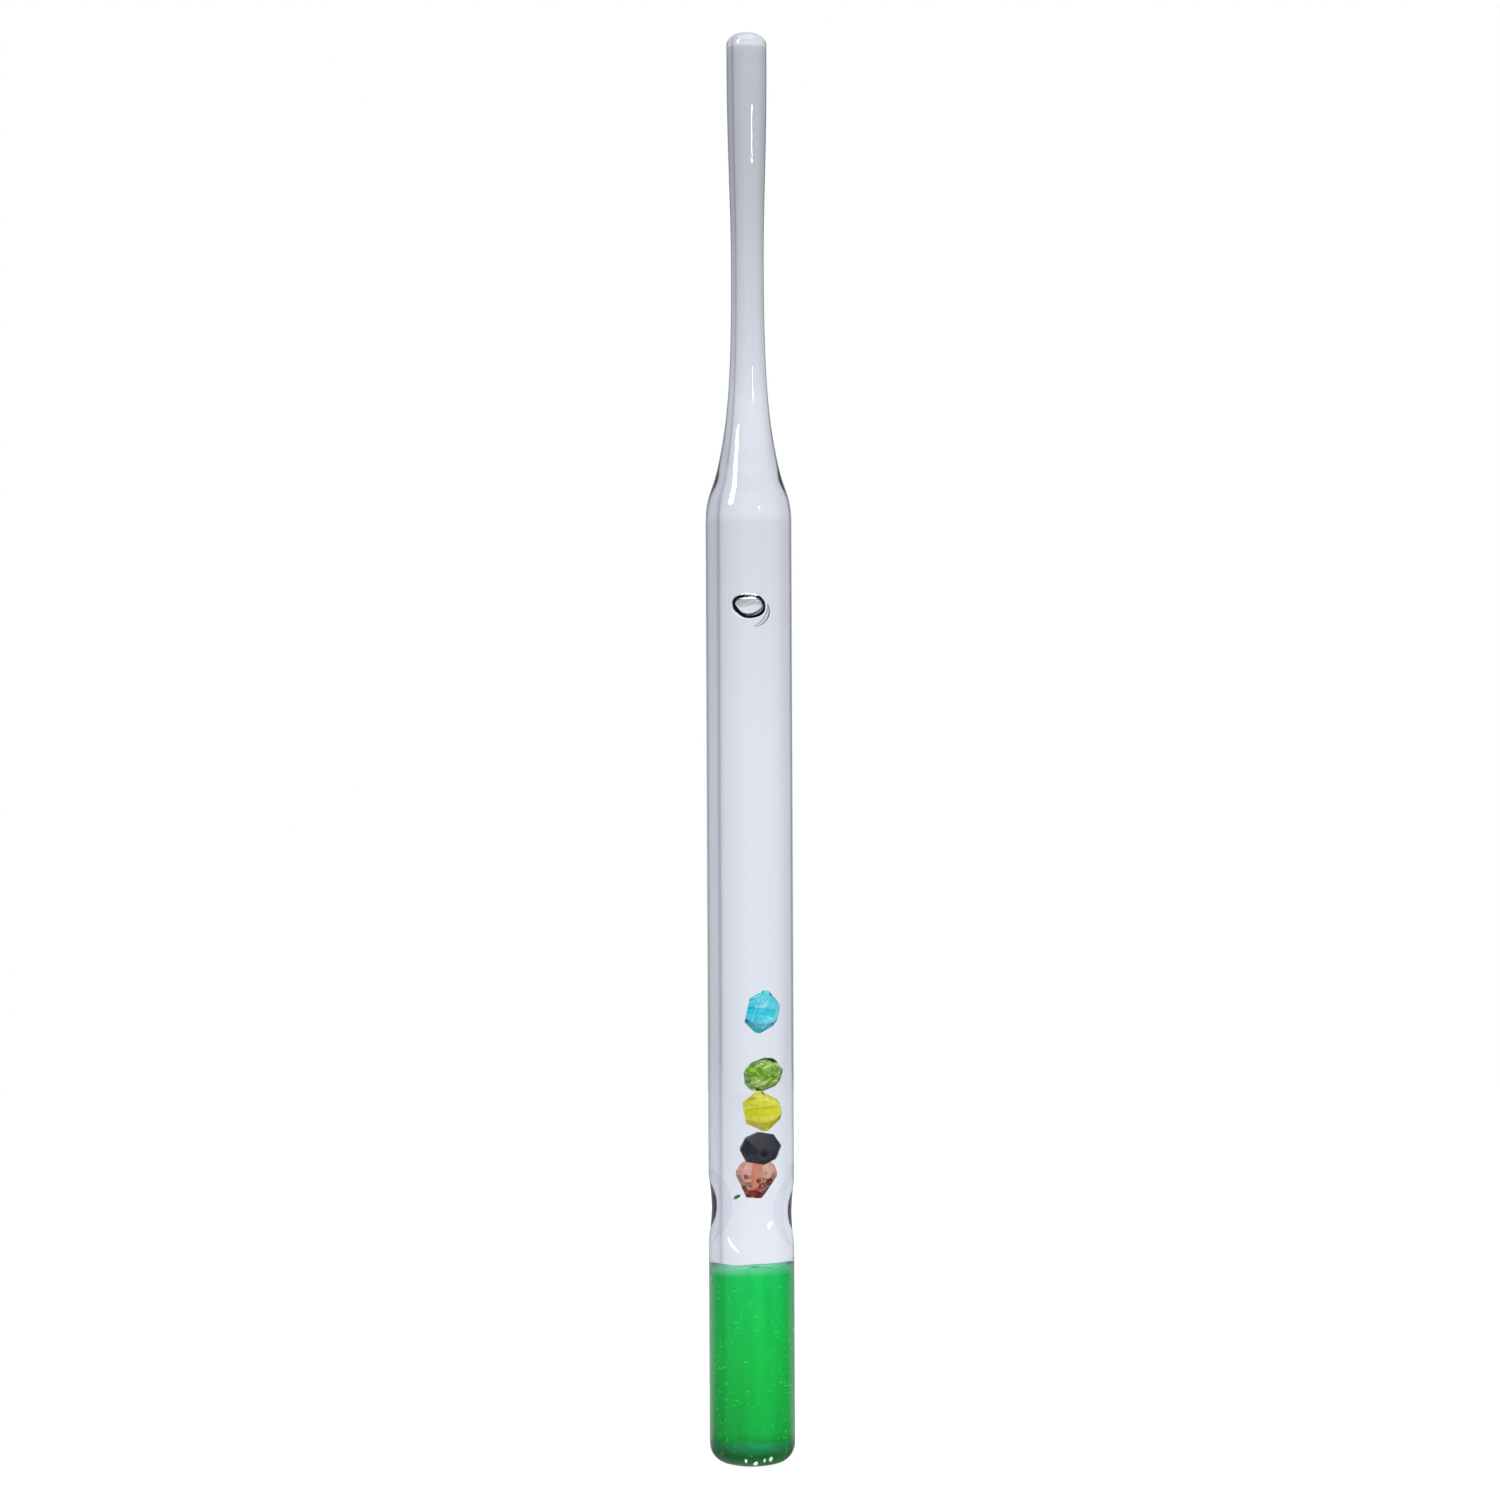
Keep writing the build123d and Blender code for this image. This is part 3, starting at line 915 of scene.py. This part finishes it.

# %% [markdown]
# The resin is dyed through. It is painted lighter towards the top, painted light from above, and
# darker down to almost bottle green in the closed end, painted shade. Stirring left faint upright
# streaks of dye. Its free top face is painted paler, and its left side and its flanks darker: painted
# light and shade.

# %% Resin finish
def resin_dye_and_painted_light(name, top, bottom, pale, ior):
    material, tree, shader = new_material(name)
    add, link = tree.nodes.new, tree.links.new
    shader.inputs["Roughness"].default_value = 0.02
    shader.inputs["Transmission Weight"].default_value = 0.8
    shader.inputs["IOR"].default_value = ior
    shader.inputs["Specular Tint"].default_value = (0, 0, 0, 1)
    where = add("ShaderNodeTexCoord")
    axes = add("ShaderNodeSeparateXYZ")
    # painted light and shade: darkest at the floor of the closed end, lighter up to the top
    height = add("ShaderNodeMapRange")
    height.inputs["From Min"].default_value = 0.001
    height.inputs["From Max"].default_value = 0.028
    depth = add("ShaderNodeValToRGB")
    stops = depth.color_ramp.elements
    stops[0].color, stops[1].color = (*(0.22 * c for c in bottom), 1), (*top, 1)
    for at, share in ((0.08, 0.55), (0.12, 1.0), (0.5, 1.3)):
        stops.new(at).color = (*(share * c for c in bottom), 1)
    squeeze = add("ShaderNodeVectorMath")
    squeeze.operation = "MULTIPLY"
    squeeze.inputs[1].default_value = (1.0, 1.0, 0.10)
    streaks = add("ShaderNodeTexNoise")
    streaks.inputs["Scale"].default_value = 520.0
    streaks.inputs["Detail"].default_value = 3.0
    streak_range = add("ShaderNodeMapRange")
    streak_range.inputs["From Min"].default_value = 0.3
    streak_range.inputs["From Max"].default_value = 0.7
    streak_range.inputs["To Min"].default_value = 0.78
    streak_range.inputs["To Max"].default_value = 1.08
    streaked = add("ShaderNodeVectorMath")
    streaked.operation = "SCALE"
    # painted shade: darker towards the left side (-X)
    side = add("ShaderNodeMapRange")
    side.inputs["From Min"].default_value = -0.005
    side.inputs["From Max"].default_value = 0.004
    side.inputs["To Min"].default_value = 0.72
    side.inputs["To Max"].default_value = 1.0
    sided = add("ShaderNodeVectorMath")
    sided.operation = "SCALE"
    # painted shade: darker at the flanks, where the resin is seen at a slant
    slant = add("ShaderNodeLayerWeight")
    slant.inputs["Blend"].default_value = 0.35
    flank = add("ShaderNodeMix")
    flank.data_type = "RGBA"
    flank.inputs["B"].default_value = (*(0.35 * c for c in bottom), 1)
    # painted light: faces that look upward are paler
    up = add("ShaderNodeNewGeometry")
    up_axes = add("ShaderNodeSeparateXYZ")
    is_top = add("ShaderNodeMapRange")
    is_top.inputs["From Min"].default_value = 0.35
    is_top.inputs["From Max"].default_value = 0.8
    paler = add("ShaderNodeMix")
    paler.data_type = "RGBA"
    paler.inputs["B"].default_value = (*pale, 1)
    link(where.outputs["Object"], axes.inputs[0])
    link(axes.outputs["Z"], height.inputs["Value"])
    link(height.outputs[0], depth.inputs["Fac"])
    link(where.outputs["Object"], squeeze.inputs[0])
    link(squeeze.outputs[0], streaks.inputs["Vector"])
    link(streaks.outputs["Fac"], streak_range.inputs["Value"])
    link(depth.outputs["Color"], streaked.inputs[0])
    link(streak_range.outputs[0], streaked.inputs["Scale"])
    link(up.outputs["Normal"], up_axes.inputs[0])
    link(up_axes.outputs["Z"], is_top.inputs["Value"])
    link(is_top.outputs[0], paler.inputs["Factor"])
    link(axes.outputs["X"], side.inputs["Value"])
    link(streaked.outputs[0], sided.inputs[0])
    link(side.outputs[0], sided.inputs["Scale"])
    link(slant.outputs["Facing"], flank.inputs["Factor"])
    link(sided.outputs[0], flank.inputs["A"])
    link(flank.outputs["Result"], paler.inputs["A"])
    link(paler.outputs["Result"], shader.inputs["Base Color"])
    return material


# lit top, shaded bottom and pale upward faces of one green dye: painted light and shade
RESIN_TOP, RESIN_BOTTOM, RESIN_PALE = (0.002, 1.0, 0.17), (0.001, 0.70, 0.075), (0.9, 1.0, 0.95)
plug.data.materials.append(resin_dye_and_painted_light("green_resin", RESIN_TOP, RESIN_BOTTOM, RESIN_PALE, 1.07))
crumb, tree, shader = new_material("crumb_resin")
shader.inputs["Base Color"].default_value = (0.02, 0.30, 0.14, 1)
shader.inputs["Roughness"].default_value = 0.2
shader.inputs["Transmission Weight"].default_value = 0.3
shader.inputs["IOR"].default_value = 1.07
fleck.data.materials.append(crumb)

# %% [markdown]
# ## Bead crystal
# One rule serves all five beads. A cut crystal sends some of its light back from each facet, so each
# facet is painted its own tone from the mesh, lighter as it faces one fixed direction: painted light
# and shade. Streaks and patches of another colour follow Object coordinates; on the red bead the
# patches are dark and gather towards its lower end.
# The drilled wall has no colour of its own, because the colour is in the crystal and not on it.

# %% Crystal group
def crystal_group():
    """Colour of cut crystal from a dark, a light and a patch colour; the facets' painted light and shade
    mix the dark and the light.
    """
    tree = bpy.data.node_groups.new("crystal_colour", "ShaderNodeTree")
    face = tree.interface
    for socket in ("Dark", "Light", "Patch"):
        face.new_socket(socket, in_out="INPUT", socket_type="NodeSocketColor")
    starts = {"Streak Size": 900.0, "Patch From": 0.6, "Patch Low": -1.0, "Streak Mix": 0.5}
    for socket, start in starts.items():
        face.new_socket(socket, in_out="INPUT", socket_type="NodeSocketFloat").default_value = start
    face.new_socket("Streak Turn", in_out="INPUT", socket_type="NodeSocketFloat")
    for socket in ("Streak Axes", "Middle"):
        face.new_socket(socket, in_out="INPUT", socket_type="NodeSocketVector")
    face.new_socket("Color", in_out="OUTPUT", socket_type="NodeSocketColor")
    add, link = tree.nodes.new, tree.links.new
    given, result = add("NodeGroupInput"), add("NodeGroupOutput")
    where = add("ShaderNodeTexCoord")
    local = add("ShaderNodeVectorMath")
    local.operation = "SUBTRACT"
    turned = add("ShaderNodeVectorRotate")
    turned.rotation_type = "Y_AXIS"
    squeeze = add("ShaderNodeVectorMath")
    squeeze.operation = "MULTIPLY"
    streaks = add("ShaderNodeTexNoise")
    streaks.inputs["Detail"].default_value = 2.0
    contrast = add("ShaderNodeMapRange")
    contrast.inputs["From Min"].default_value = 0.25
    contrast.inputs["From Max"].default_value = 0.75
    sharpen = add("ShaderNodeMapRange")
    sharpen.inputs["From Min"].default_value = 0.42
    sharpen.inputs["From Max"].default_value = 0.60
    # painted light and shade of each facet, from the mesh
    tone = add("ShaderNodeAttribute")
    tone.attribute_name = "facet_painted_light"
    blend = add("ShaderNodeMix")
    blend.data_type = "FLOAT"
    base = add("ShaderNodeMix")
    base.data_type = "RGBA"
    axes = add("ShaderNodeSeparateXYZ")
    low = add("ShaderNodeMath")
    low.operation = "MULTIPLY"
    patch_noise = add("ShaderNodeTexNoise")
    patch_noise.inputs["Scale"].default_value = 1300.0
    patch_noise.inputs["Detail"].default_value = 4.0
    total = add("ShaderNodeMath")
    total.operation = "ADD"
    over = add("ShaderNodeMath")
    over.operation = "SUBTRACT"
    edge = add("ShaderNodeMapRange")
    edge.inputs["From Max"].default_value = 0.05
    patched = add("ShaderNodeMix")
    patched.data_type = "RGBA"
    drilled = add("ShaderNodeAttribute")
    drilled.attribute_name = "drilled"
    clean = add("ShaderNodeMix")
    clean.data_type = "RGBA"
    link(where.outputs["Object"], local.inputs[0])
    link(given.outputs["Middle"], local.inputs[1])
    link(local.outputs[0], turned.inputs["Vector"])
    link(given.outputs["Streak Turn"], turned.inputs["Angle"])
    link(turned.outputs[0], squeeze.inputs[0])
    link(given.outputs["Streak Axes"], squeeze.inputs[1])
    link(squeeze.outputs[0], streaks.inputs["Vector"])
    link(given.outputs["Streak Size"], streaks.inputs["Scale"])
    link(streaks.outputs["Fac"], sharpen.inputs["Value"])
    link(given.outputs["Streak Mix"], blend.inputs[0])
    link(tone.outputs["Fac"], contrast.inputs["Value"])
    link(contrast.outputs[0], blend.inputs[2])
    link(sharpen.outputs[0], blend.inputs[3])
    link(blend.outputs[0], base.inputs["Factor"])
    link(given.outputs["Dark"], base.inputs["A"])
    link(given.outputs["Light"], base.inputs["B"])
    link(local.outputs[0], axes.inputs[0])
    link(axes.outputs["Z"], low.inputs[0])
    link(given.outputs["Patch Low"], low.inputs[1])
    link(where.outputs["Object"], patch_noise.inputs["Vector"])
    link(patch_noise.outputs["Fac"], total.inputs[0])
    link(low.outputs[0], total.inputs[1])
    link(total.outputs[0], over.inputs[0])
    link(given.outputs["Patch From"], over.inputs[1])
    link(over.outputs[0], edge.inputs["Value"])
    link(edge.outputs[0], patched.inputs["Factor"])
    link(base.outputs["Result"], patched.inputs["A"])
    link(given.outputs["Patch"], patched.inputs["B"])
    link(drilled.outputs["Fac"], clean.inputs["Factor"])
    link(patched.outputs["Result"], clean.inputs["A"])
    link(given.outputs["Light"], clean.inputs["B"])
    link(clean.outputs["Result"], result.inputs["Color"])
    return tree


CRYSTAL = crystal_group()
print("crystal group has", len(CRYSTAL.nodes), "nodes")

# %% Crystal finishes
CRYSTALS = {
    # bead: dark and light, the two tones that the facets' painted light and shade and the streaks mix,
    # patch,
    # streak size, patch from, patch low, streak mix, streak turn, streak axes, clarity, ior
    "bead_blue": (
        (0.03, 0.66, 0.84), (0.24, 0.96, 1.0), (0.85, 1.0, 1.0),
        1300, 0.58, 0, 0.45, -40, (1.0, 1.0, 0.5), 0.94, 1.05,
    ),
    "bead_green": (
        (0.05, 0.22, 0.01), (0.70, 0.92, 0.24), (0.95, 1.0, 0.75),
        1900, 0.61, 0, 0.75, 32, (0.2, 1.0, 1.0), 0.94, 1.06,
    ),
    "bead_yellow": (
        (0.72, 0.68, 0.02), (1.0, 0.98, 0.12), (1.0, 1.0, 0.6),
        1200, 0.60, 0, 0.35, 30, (1.0, 1.0, 1.0), 0.94, 1.05,
    ),
    "bead_black": (
        (0.001, 0.001, 0.0015), (0.11, 0.11, 0.14), (0.02, 0.02, 0.025),
        900, 0.72, 0, 0.05, 0, (1.0, 1.0, 1.0), 0.30, 1.16,
    ),
    "bead_red": (
        (0.82, 0.40, 0.29), (1.0, 0.66, 0.52), (0.15, 0.014, 0.008),
        2200, 0.61, -70, 0.65, 8, (1.3, 1.3, 0.2), 0.88, 1.06,
    ),
}


def crystal(bead_name):
    dark, light, patch, *pattern, clarity, ior = CRYSTALS[bead_name]
    streak, patch_from, patch_low, mixed, turn, axes = pattern
    material, tree, shader = new_material(BEADS[bead_name][1])
    group = tree.nodes.new("ShaderNodeGroup")
    group.node_tree = CRYSTAL
    for socket, colour in (("Dark", dark), ("Light", light), ("Patch", patch)):
        group.inputs[socket].default_value = (*colour, 1)
    group.inputs["Streak Size"].default_value = streak
    group.inputs["Patch From"].default_value = patch_from
    group.inputs["Patch Low"].default_value = patch_low
    group.inputs["Streak Mix"].default_value = mixed
    group.inputs["Streak Turn"].default_value = math.radians(turn)
    group.inputs["Streak Axes"].default_value = axes
    group.inputs["Middle"].default_value = tuple(c * MM for c in BEADS[bead_name][4])
    tree.links.new(group.outputs["Color"], shader.inputs["Base Color"])
    shader.inputs["Roughness"].default_value = 0.03
    shader.inputs["Transmission Weight"].default_value = clarity
    shader.inputs["IOR"].default_value = ior
    return material


for name, obj in bead_pieces.items():
    obj.data.materials.append(crystal(name))
    print(name, "has the finish", obj.data.materials[0].name)
